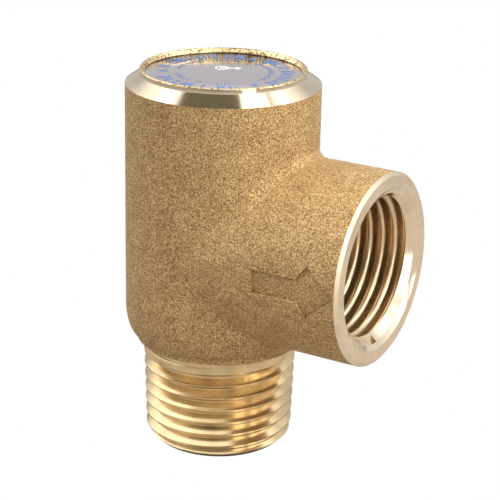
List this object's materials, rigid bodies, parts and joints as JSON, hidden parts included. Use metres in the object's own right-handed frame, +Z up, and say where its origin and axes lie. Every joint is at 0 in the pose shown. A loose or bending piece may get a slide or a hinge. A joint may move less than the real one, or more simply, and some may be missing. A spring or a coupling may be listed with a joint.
{
  "type": "pressure relief valve",
  "caption": "Angle-pattern spring relief valve with a threaded male inlet below, a threaded side outlet and a round nameplate crimped into its top.",
  "frame": {"origin": "centre of the inlet end face, on the valve axis", "axes": "+Z up the valve axis towards the nameplate, +X out of the outlet"},
  "size_m": [0.0378, 0.0262, 0.0528],
  "materials": {
    "body": "blasted bronze casting with machined faces and threads",
    "trim": "turned",
    "stainless": "turned",
    "spring_steel": "drawn wire",
    "nameplate": "bright, with blue print",
    "rubber": "moulded"
  },
  "bodies": {
    "body": {"valve_body": "body", "lock_ring": "trim", "nameplate": "nameplate"},
    "poppet": {"disc_holder": "trim", "seat_disc": "rubber", "disc_washer": "stainless", "disc_nut": "stainless", "guide_stem": "stainless"},
    "spring_seat": {"spring_seat": "trim", "spring": "spring_steel"},
    "adjusting_plug": {"adjusting_plug": "trim", "plug_ring": "rubber"}
  },
  "joints": [
    {"name": "poppet_lift", "type": "slide", "parent": "body", "child": "poppet", "axis": [0, 0, 1], "range_m": [0, 0.0024], "stiffness_N_per_m": 6700, "deforming": ["spring"]},
    {"name": "spring_seat_travel", "type": "slide", "parent": "body", "child": "spring_seat", "axis": [0, 0, 1], "range_m": [-0.0015, 0], "deforming": ["spring"]},
    {"name": "plug_turn", "type": "hinge", "parent": "spring_seat", "child": "adjusting_plug", "pos_m": [0, 0, 0.045], "axis": [0, 0, 1], "range_deg": [-361, 1]}
  ],
  "couplings": [
    {"joint": "plug_turn", "follows": "spring_seat_travel", "rad_per_m": 4188.8}
  ]
}
